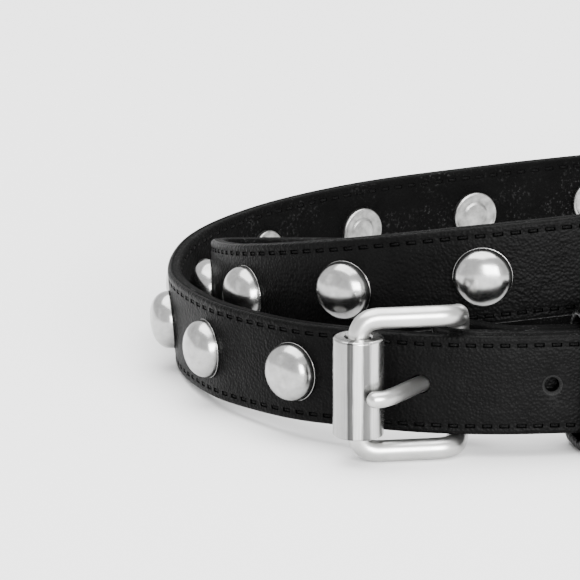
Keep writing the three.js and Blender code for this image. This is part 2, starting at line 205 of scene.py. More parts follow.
# The strap's route. right is a share of the coil's width and back of its depth, both from the
# hole in use. lift is the height of the lower edge as a share of the strap's width, and lean tips
# the upper edge outwards, in degrees.
COIL_WIDTH = 190.0
COIL_DEPTH = 166.0
HOLE_ROW = 6
ROUTE = [
    # right, back, lift, lean
    (0.487, 0.345, 0.0, 0),
    (0.44, 0.21, 0.0, 0),
    (0.352, 0.11, 0.02, 0),
    (0.25, 0.04, 0.15, 0),
    (0.155, 0.006, 0.215, 0),
    (0.075, -0.006, 0.224, 0),
    (0.0, 0.0, 0.225, 0),
    (-0.062, 0.024, 0.215, 0),
    (-0.13, 0.073, 0.172, 0),
    (-0.182, 0.137, 0.13, 1),
    (-0.223, 0.209, 0.09, 2),
    (-0.264, 0.372, 0.01, 5),
    (-0.25, 0.54, 0.01, 4),
    (-0.186, 0.684, 0.0, 2),
    (-0.081, 0.803, 0.0, 0),
    (0.051, 0.89, 0.0, 0),
    (0.19, 0.953, 0.02, 0),
    (0.35, 0.995, 0.06, 0),
    (0.525, 0.97, 0.15, 0),
    (0.668, 0.855, 0.3, 0),
    (0.7298, 0.67, 0.52, 0),
    (0.71, 0.475, 0.76, 0),
    (0.605, 0.32, 0.98, 0),
    (0.42, 0.205, 1.13, 0),
    (0.22, 0.133, 1.19, 0),
    (0.059, 0.098, 1.1, 0),
    (-0.081, 0.143, 0.855, 0),
    (-0.184, 0.262, 0.525, 0),
    (-0.222, 0.452, 0.16, 0),
    (-0.188, 0.514, 0.04, 0),
    (-0.125, 0.53, 0.008, 0),
    (-0.03, 0.528, 0.0, 0),
    (0.12, 0.525, 0.0, 0),
    (0.3, 0.52, 0.0, 0),
    (0.43, 0.465, 0.0, 0),
]

UP = np.array([0.0, 0.0, 1.0])


def unit(v):
    return v / np.linalg.norm(v, axis=-1, keepdims=True)


class Line:
    """A smooth line through points, measured along its length. place counts the points from 0."""

    def __init__(self, points, steps=60):
        p = np.asarray(points, float)
        self.p = np.vstack([2 * p[0] - p[1], p, 2 * p[-1] - p[-2]])
        self.rows = len(p) - 1
        self.places = np.linspace(0, self.rows, steps * len(p) + 1)
        at = self.at(self.places)
        step = np.linalg.norm(np.diff(at, axis=0), axis=1)
        self.lengths = np.concatenate([[0.0], np.cumsum(step)])
        self.length = self.lengths[-1]

    def _cubic(self, place):
        place = np.atleast_1d(np.asarray(place, float))
        row = np.clip(np.floor(place).astype(int), 0, self.rows - 1)
        w = (place - row)[:, None]
        x0, x1, x2, x3 = (self.p[row + k] for k in range(4))
        d0, d1, d2 = (
            np.sqrt(np.linalg.norm(b - a, axis=1))[:, None]
            for a, b in ((x0, x1), (x1, x2), (x2, x3))
        )
        m1 = d1 * ((x1 - x0) / d0 - (x2 - x0) / (d0 + d1) + (x2 - x1) / d1)
        m2 = d1 * ((x2 - x1) / d1 - (x3 - x1) / (d1 + d2) + (x3 - x2) / d2)
        return w, x1, m1, -3 * x1 + 3 * x2 - 2 * m1 - m2, 2 * x1 - 2 * x2 + m1 + m2

    def at(self, place):
        w, a, b, c, d = self._cubic(place)
        return a + w * (b + w * (c + w * d))

    def direction(self, place):
        w, _, b, c, d = self._cubic(place)
        return unit(b + w * (2 * c + w * 3 * d))

    def place_of(self, distance):
        return np.interp(distance, self.lengths, self.places)


def outward_of(tangent):
    return unit(np.cross(UP, tangent))


# The strap's middle line. The heel layer lies one thickness inside the tail.
drawn = np.array(
    [
        (right * COIL_WIDTH, back * COIL_DEPTH, (lift + 0.5) * STRAP_WIDTH)
        for right, back, lift, _ in ROUTE
    ]
)
shared_rows = HOLE_ROW + 1
outward_of_rows = outward_of(Line(drawn).direction(np.arange(shared_rows)))
middle = Line(np.vstack([drawn, drawn[:shared_rows] - LAYER_STEP * outward_of_rows]))
lean_of_row = np.array([row[3] for row in ROUTE + ROUTE[:shared_rows]], float)
hole_station = middle.lengths[round(HOLE_ROW / middle.rows * (len(middle.lengths) - 1))]


class Frames:
    """Places along the strap, each with its directions along, out of the coil and up the width."""

    def __init__(self, point, tangent, outward, up):
        self.point, self.tangent, self.outward, self.up = point, tangent, outward, up

    def put(self, along, out, up):
        """Points at offsets from the places. An array of offsets starts with the places."""
        rest = max(np.ndim(along), np.ndim(out), np.ndim(up)) - 1
        shape = (len(self.point),) + (1,) * max(rest, 0) + (3,)
        total = self.point.reshape(shape)
        for amount, axis in ((along, self.tangent), (out, self.outward), (up, self.up)):
            total = total + np.asarray(amount, float)[..., None] * axis.reshape(shape)
        return total


def strap_frames(distance):
    """Frames at distances from the hole in use, counted away from the tail."""
    station = hole_station + np.atleast_1d(np.asarray(distance, float))
    place = middle.place_of(station)
    lean = -np.radians(np.interp(place, np.arange(middle.rows + 1), lean_of_row))[:, None]
    tangent = middle.direction(place)
    level = outward_of(tangent)
    outward = level * np.cos(lean) + np.cross(tangent, level) * np.sin(lean)
    point = middle.at(place) + tangent * np.minimum(station, 0)[:, None]
    return Frames(point, tangent, outward, np.cross(tangent, outward))


front = strap_frames(0)
roller_seat = strap_frames(ROLLER_DISTANCE)
heel_seat = strap_frames(-HEEL_BAR_DISTANCE)
fold_radius = WIRE_RADIUS + TONGUE_CLEARANCE + HALF_THICKNESS
tongue_eye_radius = WIRE_RADIUS + TONGUE_CLEARANCE + TONGUE_EYE_WIRE
roller_offset = HALF_THICKNESS + ROLLER_GAP + ROLLER_RADIUS
roller_axis = roller_seat.point[0] + roller_seat.outward[0] * roller_offset
heel_axis = heel_seat.point[0] - heel_seat.outward[0] * (LAYER_STEP + fold_radius)
buckle_z = WIRE_RADIUS + BAR_SPACING / 2
strap_z = front.point[0][2]
heel_bar_reach = HALF_WIDTH + HEEL_CORNER_REACH

# From the route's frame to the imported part's: the roller tells the shift.
low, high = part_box("roller")
centre_of_roller = (np.array(low) + np.array(high)) / 2
SHIFT = centre_of_roller / MM - np.array([roller_axis[0], roller_axis[1], buckle_z])


def find_heel_station():
    """How far along the strap the fold begins: where the strap passes nearest to the heel bar."""
    end = middle.length - hole_station
    tries = np.arange(end - 4 * HEEL_BAR_DISTANCE, end, HEEL_SEARCH_STEP)
    gap = np.linalg.norm((strap_frames(tries).point - heel_axis)[:, :2], axis=1)
    return tries[np.argmin(gap)]


heel_station = find_heel_station()
stud_count = sum(1 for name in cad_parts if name.startswith("stud_"))
stud_pitch = (heel_station - LAST_STUD_REACH) / stud_count


def whole_strap():
    """Frames from the tip of the tail to the end folded behind the strap, and their distances."""
    main_count = BAND_STEPS_PER_MM * round(TAIL_LENGTH + heel_station)
    main = strap_frames(np.linspace(-TAIL_LENGTH, heel_station, main_count))
    towards = main.point[-1] - heel_axis
    towards[2] = 0
    towards = unit(towards)
    turn = -np.linspace(0, math.pi, FOLD_SECTIONS)[1:, None]
    fold_out = towards * np.cos(turn) + np.cross(UP, towards) * np.sin(turn)
    fold_point = heel_axis + fold_out * fold_radius
    fold_point[:, 2] = main.point[-1][2]
    fold_up = np.tile(UP, (len(turn), 1))
    distance = np.linspace(0, TURN_BACK_LENGTH, TURN_BACK_SECTIONS)[1:]
    heel = strap_frames(heel_station - distance)
    merge = np.minimum(distance / TURN_BACK_MERGE, 1)
    merge = merge * merge * (3 - 2 * merge)
    away = 2 * fold_radius + (LAYER_STEP - 2 * fold_radius) * merge
    back_point = heel.point - heel.outward * away[:, None]
    point = np.vstack([main.point, fold_point, back_point])
    up = np.vstack([main.up, fold_up, heel.up])
    after_main = len(main.point)
    tangent = unit(np.gradient(point, axis=0))
    tangent[:after_main] = main.tangent
    outward = unit(np.cross(up, tangent))
    outward[:after_main] = main.outward
    step = np.linalg.norm(np.diff(point, axis=0), axis=1)
    return Frames(point, tangent, outward, up), np.concatenate([[0.0], np.cumsum(step)])


band, band_distance = whole_strap()
band_length = band_distance[-1]


def band_frames(distance):
    """Frames at distances from the tip of the tail, over the whole strap."""
    distance = np.atleast_1d(np.asarray(distance, float))

    def sample(values):
        columns = [np.interp(distance, band_distance, column) for column in values.T]
        return np.stack(columns, axis=1)

    outward, up = unit(sample(band.outward)), unit(sample(band.up))
    return Frames(sample(band.point), unit(np.cross(outward, up)), outward, up)


# Meshes


def make_object(name, points, faces, materials, material_of=None):
    """An object from points in millimetres in the route's frame."""
    mesh = bpy.data.meshes.new(name)
    mesh.from_pydata(((np.reshape(points, (-1, 3)) + SHIFT) * MM).tolist(), [], faces)
    for material in materials:
        mesh.materials.append(material)
    if material_of is not None:
        mesh.polygons.foreach_set("material_index", np.asarray(material_of, np.int32))
    mesh.polygons.foreach_set("use_smooth", np.ones(len(mesh.polygons), bool))
    mesh.validate()
    mesh.update()
    made = bpy.data.objects.new(name, mesh)
    bpy.context.scene.collection.objects.link(made)
    return made


def tube_faces(rings, sides, closed=False):
    """Quads between rings of points, and a polygon on each open end."""
    ring = np.arange(rings if closed else rings - 1)[:, None]
    side = np.arange(sides)[None, :]
    a = ring * sides + side
    b = ring * sides + (side + 1) % sides
    step = ((ring + 1) % rings) * sides
    quads = np.stack([a, b, step + (side + 1) % sides, step + side], axis=-1)
    quads = quads.reshape(-1, 4).tolist()
    if not closed:
        quads.append(list(range(sides))[::-1])
        quads.append(list(range((rings - 1) * sides, rings * sides)))
    return quads


def around(count):
    """Angles evenly spaced round a circle."""
    return 2 * np.pi * np.arange(count) / count


def copies_of(faces, points_each, count):
    """The faces of count equal pieces whose points follow each other."""
    return [[k * points_each + v for v in face] for k in range(count) for face in faces]


def lathe(profile, sides):
    """Offsets along, out and up of a shape turned round its outward axis."""
    angle = around(sides)
    radius, height = np.asarray(profile, float).T
    along = radius[:, None] * np.cos(angle)
    across = radius[:, None] * np.sin(angle)
    return along, np.repeat(height[:, None], sides, axis=1), across


def smooth_by_angle(made, degrees):
    made.data.set_sharp_from_angle(angle=math.radians(degrees))


def keep(made, slot_name, *nodes):
    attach(made, "root")
    if nodes:
        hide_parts(*nodes)
    return made


# Materials


def new_material(name):
    material = bpy.data.materials.new(name)
    material.use_nodes = True
    return material, material.node_tree, material.node_tree.nodes["Principled BSDF"]


def node(tree, kind, **inputs):
    made = tree.nodes.new(kind)
    for name, value in inputs.items():
        made.inputs[name.replace("_", " ")].default_value = value
    return made


def placed(tree, scale=(1, 1, 1)):
    """Coordinates in millimetres, stretched by scale."""
    coordinates = tree.nodes.new("ShaderNodeTexCoord")
    mapping = tree.nodes.new("ShaderNodeMapping")
    mapping.inputs["Scale"].default_value = [s / MM for s in scale]
    tree.links.new(coordinates.outputs["Object"], mapping.inputs["Vector"])
    return mapping.outputs["Vector"]


def noise(tree, vector, per_mm, detail=3.0, roughness=0.55):
    made = node(tree, "ShaderNodeTexNoise", Scale=per_mm, Detail=detail, Roughness=roughness)
    tree.links.new(vector, made.inputs["Vector"])
    return made.outputs["Fac"]


def ramp(tree, value, *stops):
    """A colour ramp through (position, grey or colour) stops."""
    made = tree.nodes.new("ShaderNodeValToRGB")
    elements = made.color_ramp.elements
    while len(elements) < len(stops):
        elements.new(0.5)
    for element, (position, colour) in zip(elements, stops):
        element.position = position
        rgb = colour if isinstance(colour, tuple) else (colour,) * 3
        element.color = (*rgb, 1)
    tree.links.new(value, made.inputs["Fac"])
    return made.outputs["Color"]


def bump(tree, height, depth_mm, strength, below=None):
    made = tree.nodes.new("ShaderNodeBump")
    made.inputs["Strength"].default_value = strength
    made.inputs["Distance"].default_value = depth_mm * MM
    tree.links.new(height, made.inputs["Height"])
    if below is not None:
        tree.links.new(below, made.inputs["Normal"])
    return made.outputs["Normal"]


PEBBLE_DEPTH = 0.2
PEBBLE_SMOOTHNESS = 0.6
WAVE_DEPTH = 0.8
WAVE_STRENGTH = 0.2
FINE_DEPTH = 0.05
STREAK_DEPTH = 0.03
DENT_DEPTH = 0.35
DENT_STRENGTH = 0.08
BAND_RAGGED = 0.03
# Painted reflections on the roller: tones of upright bands, darker where surroundings would
# reflect dark, brightest at the front.
ROLLER_REFLECTION_TONES = [
    # angle from the front, tone
    (-100, 0.9),
    (-60, 0.5),
    (-27, 0.48),
    (-24, 0.08),
    (-13, 0.14),
    (-9, 0.95),
    (7, 1.0),
    (13, 0.16),
    (26, 0.24),
    (33, 0.85),
    (60, 1.0),
    (100, 0.9),
]


def leather_material(name, dark, light, rough, grain_mm, grain_strength, speckle=0.0, gloss=0.05):
    """Leather with blotches, a pebbled grain and, with a speckle tone, patches of light specks."""
    material, tree, shader = new_material(name)
    vector = placed(tree)
    blotches = noise(tree, vector, 0.16, 4)
    fine = noise(tree, vector, 3.2, 4, 0.65)
    colour = ramp(tree, blotches, (0.3, dark), (0.75, light))
    if speckle:
        specks = ramp(tree, noise(tree, vector, 1.5, 6, 0.72), (0.56, 0.0), (0.72, 1.0))
        where = ramp(tree, noise(tree, vector, 0.11, 2), (0.42, 0.0), (0.62, 1.0))
        amount = maths(tree, "MULTIPLY", specks, where)
        mix = tree.nodes.new("ShaderNodeMix")
        mix.data_type = "RGBA"
        tree.links.new(amount, mix.inputs["Factor"])
        tree.links.new(colour, mix.inputs["A"])
        mix.inputs["B"].default_value = (speckle, speckle, speckle, 1)
        colour = mix.outputs["Result"]
    tree.links.new(colour, shader.inputs["Base Color"])
    low_rough, high_rough = rough
    fine_rough = ramp(tree, fine, (0.3, low_rough), (0.7, high_rough))
    tree.links.new(fine_rough, shader.inputs["Roughness"])
    cells = node(tree, "ShaderNodeTexVoronoi", Scale=1 / grain_mm)
    cells.feature = "SMOOTH_F1"
    cells.inputs["Smoothness"].default_value = PEBBLE_SMOOTHNESS
    tree.links.new(vector, cells.inputs["Vector"])
    pebbles = bump(tree, cells.outputs["Distance"], PEBBLE_DEPTH, grain_strength)
    waves = bump(tree, noise(tree, vector, 0.35, 3), WAVE_DEPTH, WAVE_STRENGTH, pebbles)
    tree.links.new(bump(tree, fine, FINE_DEPTH, grain_strength, waves), shader.inputs["Normal"])
    shader.inputs["Specular IOR Level"].default_value = gloss
    return material


def maths(tree, operation, *values):
    made = tree.nodes.new("ShaderNodeMath")
    made.operation = operation
    for socket, value in zip(made.inputs, values):
        if isinstance(value, (int, float)):
            socket.default_value = value
        else:
            tree.links.new(value, socket)
    return made.outputs[0]


def multiplied(tree, a, b):
    mix = tree.nodes.new("ShaderNodeMix")
    mix.data_type = "RGBA"
    mix.blend_type = "MULTIPLY"
    mix.inputs["Factor"].default_value = 1.0
    tree.links.new(a, mix.inputs["A"])
    tree.links.new(b, mix.inputs["B"])
    return mix.outputs["Result"]


def painted_reflection_bands(tree):
    """Painted reflections on the roller: dark and light upright bands round it with ragged
    borders, over fine brushing lines.
    """
    split = tree.nodes.new("ShaderNodeSeparateXYZ")
    tree.links.new(placed(tree), split.inputs["Vector"])
    right = maths(tree, "SUBTRACT", split.outputs["X"], float(roller_axis[0] + SHIFT[0]))
    front_way = maths(tree, "SUBTRACT", float(roller_axis[1] + SHIFT[1]), split.outputs["Y"])
    turn = maths(tree, "DIVIDE", maths(tree, "ARCTAN2", right, front_way), 2 * math.pi)
    border_noise = noise(tree, placed(tree, scale=(3.5, 3.5, 0.12)), 1.0, 5, 0.7)
    ragged = maths(tree, "SUBTRACT", border_noise, 0.5)
    wide = maths(tree, "MULTIPLY_ADD", ragged, BAND_RAGGED, maths(tree, "ADD", turn, 0.5))
    tones = ramp(tree, wide, *[(0.5 + angle / 360, tone) for angle, tone in ROLLER_REFLECTION_TONES])
    lines = noise(tree, placed(tree, scale=(7, 7, 0.05)), 1.0, 4, 0.7)
    return multiplied(tree, tones, ramp(tree, lines, (0.35, 0.72), (0.6, 1.0)))


def metal_material(name, colour, rough, smudge, streaks=None, scratch=0.0, bands=False, dull=0.9):
    """Bare metal. Smudges vary its tone and roughness. Streaks are a number a millimetre for each
    axis. Without them the metal has faint dents."""
    material, tree, shader = new_material(name)
    shader.inputs["Metallic"].default_value = 1.0
    vector = placed(tree)
    smudges = noise(tree, vector, smudge, 4, 0.6)
    tone = tuple(dull * c for c in colour)
    shade = ramp(tree, smudges, (0.3, tone), (0.65, colour))
    # Bands paint reflections into the colour.
    if bands:
        shade = multiplied(tree, shade, painted_reflection_bands(tree))
    tree.links.new(shade, shader.inputs["Base Color"])
    low_rough, high_rough = rough
    smudge_rough = ramp(tree, smudges, (0.3, high_rough), (0.7, low_rough))
    tree.links.new(smudge_rough, shader.inputs["Roughness"])
    if streaks:
        lines = noise(tree, placed(tree, scale=streaks), 1.0, 3, 0.5)
        relief = bump(tree, lines, STREAK_DEPTH, scratch)
    else:
        relief = bump(tree, noise(tree, vector, 0.22, 1), DENT_DEPTH, DENT_STRENGTH)
    tree.links.new(relief, shader.inputs["Normal"])
    return material


outer_leather = leather_material(
    "outer leather", 0.0012, 0.0024, (0.4, 0.52), 0.6, 0.8, gloss=0.04
)
edge_leather = leather_material(
    "cut edge", 0.0015, 0.004, (0.5, 0.7), 0.3, 0.7, speckle=0.06, gloss=0.02
)
punched_leather = leather_material(
    "punched hole", 0.007, 0.014, (0.45, 0.6), 0.3, 0.5, gloss=0.06
)
inner_leather = leather_material(
    "inner leather", 0.001, 0.0022, (0.7, 0.9), 0.6, 0.8, speckle=0.04, gloss=0.04
)
# Painted shade: near-black matt leather on the floors of the needle pits and the walls of the
# punched holes, the tongue's hole and its slot.
painted_recess_shade = leather_material(
    "painted shade in pits and holes", 0.0006, 0.001, (0.8, 0.95), 0.3, 0.3, gloss=0.02
)
keeper_leather = leather_material("keeper leather", 0.001, 0.002, (0.32, 0.44), 0.75, 0.8)
thread = leather_material("waxed thread", 0.001, 0.002, (0.4, 0.5), 0.18, 0.8, gloss=0.06)
dome_metal = metal_material(
    "polished domes", (0.41, 0.41, 0.405), (0.17, 0.26), 0.5, dull=0.72
)
cap_metal = metal_material(
    "rivet caps", (0.42, 0.42, 0.41), (0.29, 0.38), 0.45, (1.2, 1.2, 5), 0.12, dull=0.45
)
buckle_metal = metal_material(
    "satin buckle", (0.5, 0.5, 0.49), (0.285, 0.36), 0.3, (0.5, 0.5, 4), 0.1, dull=0.85
)
# The roller's colour carries painted reflection bands.
roller_metal = metal_material(
    "satin roller", (0.7, 0.7, 0.69), (0.2, 0.26), 0.3, (6, 6, 0.35), 0.22, bands=True
)


# The strap


def tip_shape(from_end):
    """Half the strap's width at a distance from the end of the rounded tip."""
    inside = np.clip(from_end / TIP_ROUND, 0, 1)
    return HALF_WIDTH * np.sqrt(1 - (1 - inside) ** 2)


def end_share(from_end):
    """The share of the strap's thickness at a distance from an end, which rounds off."""
    near = np.clip(from_end / OUTER_EDGE_ROUND, 0, 1)
    round_off = OUTER_EDGE_ROUND * (1 - np.sqrt(1 - (1 - near) ** 2))
    return 1 - round_off / HALF_THICKNESS


def tip_row(from_end):
    """How far from the strap's middle line the stitching runs, round the tip as well."""
    inset = HALF_WIDTH - STITCH_ROW
    inside = np.clip((from_end - inset) / (TIP_ROUND - inset), 0, 1)
    return STITCH_ROW * np.sqrt(1 - (1 - inside) ** 2)


first_needle = TIP_ROUND + STITCH_PITCH / 2
needle_count = int((band_length - LAST_STITCH_GAP - first_needle) / STITCH_PITCH)
needles = first_needle + STITCH_PITCH * np.arange(needle_count + 1)


def strap_stations():
    """Where the strap has a section, and how deep the needle holes are there."""
    angle = np.linspace(TIP_START_ANGLE, math.pi / 2, TIP_SECTIONS)
    tip = TIP_ROUND * (1 - np.cos(angle))
    pit_reach = np.array([-PIT_LENGTH, -PIT_FLOOR_LENGTH, PIT_FLOOR_LENGTH, PIT_LENGTH]) / 2
    pits = (needles[:, None] + pit_reach).ravel()
    pit_share = np.tile([0.0, 1.0, 1.0, 0.0], len(needles))
    end = band_length - np.array(END_SECTIONS)
    stations = np.concatenate([tip, pits, end])
    share = np.concatenate([np.zeros(len(tip)), pit_share, np.zeros(len(end))])
    return stations, share


def strap_object():
    station, pit = strap_stations()
    half = tip_shape(station)
    thick = np.minimum(end_share(station), end_share(band_length - station)) * HALF_THICKNESS
    row = np.maximum(tip_row(station), 0.45 * half)
    fade = np.clip(station / RELIEF_START - 1, 0, 1)
    outer_round = np.minimum(OUTER_EDGE_ROUND, 0.7 * np.minimum(half, thick))
    inner_round = np.minimum(INNER_EDGE_ROUND, 0.5 * np.minimum(half, thick))

    columns_out, columns_up, kind = [], [], []

    def add(out, up, what):
        columns_out.append(out)
        columns_up.append(up)
        kind.append(what)

    def corner(side_out, side_up, start):
        r = outer_round if side_out > 0 else inner_round
        what = "outer" if side_out > 0 else "inner"
        for k in range(EDGE_ROUND_STEPS + 1):
            a = start + k * math.pi / 2 / EDGE_ROUND_STEPS
            out = side_out * (thick - r) + r * math.cos(a)
            add(out, side_up * (half - r) + r * math.sin(a), what)

    def face(side_out, direction, pit_depth):
        what = "outer" if side_out > 0 else "inner"
        flat = half - (outer_round if side_out > 0 else inner_round)
        wall = PIT_HALF + PIT_WALL
        # Across a groove: place, and shares of the groove's and the pit's depth.
        across = [(-GROOVE_HALF, 0, 0), (-wall, 0.8, 0), (-PIT_HALF, 0.8, 1), (0.0, 1, 1)]
        across += [(-offset, groove, deep) for offset, groove, deep in across[2::-1]]
        for sign in (-1, 1):
            for offset, groove, deep in across:
                up = sign * direction * row + direction * offset
                limit = np.maximum(flat - 0.02 * (GROOVE_HALF - offset * sign), 0.02)
                up = np.clip(up, -limit, limit)
                sink = fade * (GROOVE_DEPTH * groove + pit_depth * pit * deep)
                add(side_out * (thick - sink), up, "pit" if deep and side_out > 0 else what)
            if sign < 0:
                for share in FACE_COLUMNS:
                    add(side_out * thick, direction * share * (row - GROOVE_HALF), what)

    def seam(side_up, direction):
        for offset, depth in ((SEAM_HALF, 0.0), (0.0, 1.0), (-SEAM_HALF, 0.0)):
            out = np.minimum(SEAM_OUT + direction * offset, thick - 0.9 * outer_round)
            add(out, side_up * (half - depth * fade * SEAM_DEPTH), "edge")

    corner(1, -1, -math.pi / 2)
    face(1, 1, PIT_DEPTH)
    corner(1, 1, 0)
    seam(1, 1)
    corner(-1, 1, math.pi / 2)
    face(-1, -1, INNER_PIT_DEPTH)
    corner(-1, -1, math.pi)
    seam(-1, -1)

    out, up = np.stack(columns_out, axis=1), np.stack(columns_up, axis=1)
    points = band_frames(station).put(np.zeros_like(out), out, up)
    sides = out.shape[1]
    # The last of these is painted shade, on the floors of the needle pits.
    leathers = [outer_leather, edge_leather, inner_leather, painted_recess_shade]
    outer, edge, inner, dark = range(len(leathers))
    index = np.full((len(station) - 1, sides), outer)
    for k in range(sides):
        kinds = {kind[k], kind[(k + 1) % sides]}
        if "edge" in kinds or kinds == {"outer", "inner"}:
            index[:, k] = edge
        elif kinds == {"inner"}:
            index[:, k] = inner
        elif kinds == {"pit"}:
            index[:, k] = np.where(pit[:-1] + pit[1:] > 0, dark, outer)
    material_of = [*index.ravel().tolist(), edge, edge]
    faces = tube_faces(len(station), sides)
    return make_object("belt_strap", points, faces, leathers, material_of)


def put_on(frames, profile, sides):
    """Points of a turned shape on each of the frames, its axis along the outward direction."""
    along, out, up = lathe(profile, sides)
    return frames.put(along[None], out[None], up[None])


def hole_cutters():
    """Cutters for the free belt holes, which widen towards the outer face."""
    distance = TAIL_LENGTH - HOLE_PITCH * np.arange(1, HOLE_COUNT)
    wide = HOLE_RADIUS + HOLE_FLARE
    profile = [
        # radius, out
        (wide + 0.6, HALF_THICKNESS + 0.3),
        (wide + 0.14, HALF_THICKNESS + 0.01),
        (wide, HALF_THICKNESS - 0.06),
        (HOLE_RADIUS + 0.12, HALF_THICKNESS - 0.5),
        (HOLE_RADIUS, HALF_THICKNESS - 0.72),
        (HOLE_RADIUS, -HALF_THICKNESS - 0.3),
    ]
    points = put_on(band_frames(distance), profile, HOLE_SIDES)
    one = tube_faces(len(profile), HOLE_SIDES)
    bevel_faces = (len(profile) - 2) * HOLE_SIDES
    faces = copies_of(one, len(profile) * HOLE_SIDES, len(distance))
    # The bevel is punched leather; the hole's wall is painted shade.
    material_of = [*([0] * bevel_faces), *([1] * (len(one) - bevel_faces))] * len(distance)
    return make_object("hole_cutters", points, faces, [punched_leather, painted_recess_shade], material_of)


def slot_cutter():
    """A drum round the heel bar that cuts the tongue's slot into the fold."""
    radius = fold_radius + HALF_THICKNESS + SLOT_DEPTH_CLEARANCE
    half = TONGUE_RADIUS + SLOT_CLEARANCE
    angle = around(SLOT_SIDES)
    x = heel_axis[0] + radius * np.cos(angle)
    y = heel_axis[1] + radius * np.sin(angle)
    rings = [np.stack([x, y, np.full(SLOT_SIDES, strap_z + z)], axis=1) for z in (-half, half)]
    # The slot's walls are painted shade.
    return make_object("slot_cutter", rings, tube_faces(2, SLOT_SIDES), [painted_recess_shade])


def around_roller(distance, degrees):
    """A point at a distance from the roller's axis, at an angle from the strap's outward side."""
    angle = math.radians(degrees)
    start = np.array([roller_axis[0], roller_axis[1], strap_z])
    way = front.outward[0] * math.cos(angle) - front.tangent[0] * math.sin(angle)
    return start + distance * way


def tongue_wire(radius, sides, sections):
    """Rings of the tongue's wire, from its eye through the hole to its tip on the roller."""
    rest = ROLLER_RADIUS + TONGUE_REST_GAP + TONGUE_RADIUS
    hole = front.point[0]
    heel = np.array([heel_axis[0], heel_axis[1], strap_z])
    root = heel - unit(heel - hole) * tongue_eye_radius
    bend = around_roller(rest * TONGUE_BEND_SHARE, TONGUE_BEND_ANGLE)
    tip = around_roller(rest, TONGUE_TIP_ANGLE)
    line = Line([root, hole, bend, tip])
    share = np.sin(np.linspace(0, math.pi / 2, sections))
    from_tip = np.minimum((1 - share) * line.length / radius + 0.02, 1)
    size = radius * np.sqrt(1 - (1 - from_tip) ** 2)
    place = line.place_of(share * line.length)
    across = outward_of(line.direction(place))
    angle = around(sides)[None, :, None]
    spread = np.cos(angle) * across[:, None, :] + np.sin(angle) * UP
    return line.at(place)[:, None, :] + size[:, None, None] * spread


def cut(made, *cutters):
    """Cut the cutters out of an object. Each leaves its own materials on the faces it cuts."""
    for cutter in cutters:
        modifier = made.modifiers.new(cutter.name, "BOOLEAN")
        modifier.operation = "DIFFERENCE"
        modifier.solver = "MANIFOLD"
        modifier.material_mode = "TRANSFER"
        modifier.object = cutter
    bpy.context.view_layer.update()
    shown = made.evaluated_get(bpy.context.evaluated_depsgraph_get())
    mesh = bpy.data.meshes.new_from_object(shown)
    made.modifiers.clear()
    made.data = mesh
    for cutter in cutters:
        bpy.data.objects.remove(cutter)


strap = strap_object()
# The walls of the tongue's hole are painted shade.
tongue_cutter = make_object(
    "tongue_cutter",
    tongue_wire(TONGUE_RADIUS + TONGUE_HOLE_CLEARANCE, TONGUE_HOLE_SIDES, TONGUE_HOLE_SECTIONS),
    tube_faces(TONGUE_HOLE_SECTIONS, TONGUE_HOLE_SIDES),
    [painted_recess_shade],
)
cut(strap, hole_cutters(), tongue_cutter, slot_cutter())
smooth_by_angle(strap, STRAP_SHARP_ANGLE)
keep(strap, "strap_leather", "strap")


# Stitches


def stitches(name, side, sunk):
    """Short threads in the needle pits along both edges, and on the surface round the tip."""
    arc = np.linspace(0, math.pi, 200)
    inset = HALF_WIDTH - STITCH_ROW
    tip = np.stack(
        [TIP_ROUND - (TIP_ROUND - inset) * np.sin(arc), -STITCH_ROW * np.cos(arc)], axis=1
    )
    walked = np.concatenate([[0.0], np.cumsum(np.linalg.norm(np.diff(tip, axis=0), axis=1))])
    at = np.linspace(0, walked[-1], round(walked[-1] / STITCH_PITCH) + 1)
    round_tip = np.stack([np.interp(at, walked, column) for column in tip.T], axis=1)
    rows = [
        np.stack([needles, np.full(len(needles), sign * STITCH_ROW)], axis=1) for sign in (-1, 1)
    ]
    row_heading = np.tile([1.0, 0.0], (2 * len(needles), 1))
    centre = np.vstack([round_tip, *rows])
    heading = np.vstack([unit(np.gradient(round_tip, axis=0)), row_heading])
    depth = np.concatenate([np.zeros(len(round_tip)), np.full(2 * len(needles), sunk)])

    share, arch, thick = np.array(THREAD_SECTIONS).T
    reach = THREAD_LENGTH * share[None, :, None]
    flat = (centre[:, None] + heading[:, None] * reach).reshape(-1, 2)
    frames = band_frames(flat[:, 0])
    turned = np.repeat(heading, len(share), axis=0)
    angle = around(THREAD_SIDES)
    size = THREAD_RADIUS * np.tile(thick, len(centre))[:, None]
    height = np.repeat(-depth, len(share)) + np.tile(arch, len(centre))
    sideways = size * np.cos(angle) * THREAD_WIDTH_SHARE
    raised = HALF_THICKNESS + height[:, None] - THREAD_RADIUS + size * np.sin(angle)
    up = flat[:, 1:2] + turned[:, 0:1] * sideways
    points = frames.put(-turned[:, 1:2] * sideways, side * raised, up)
    one = tube_faces(len(share), THREAD_SIDES)
    if side > 0:
        one = [face[::-1] for face in one]
    faces = copies_of(one, len(share) * THREAD_SIDES, len(centre))
    return keep(make_object(name, points, faces, [thread]), "strap_leather")


stitches("outer_stitches", 1, THREAD_SUNK)
stitches("inner_stitches", -1, INNER_THREAD_SUNK)


# Studs


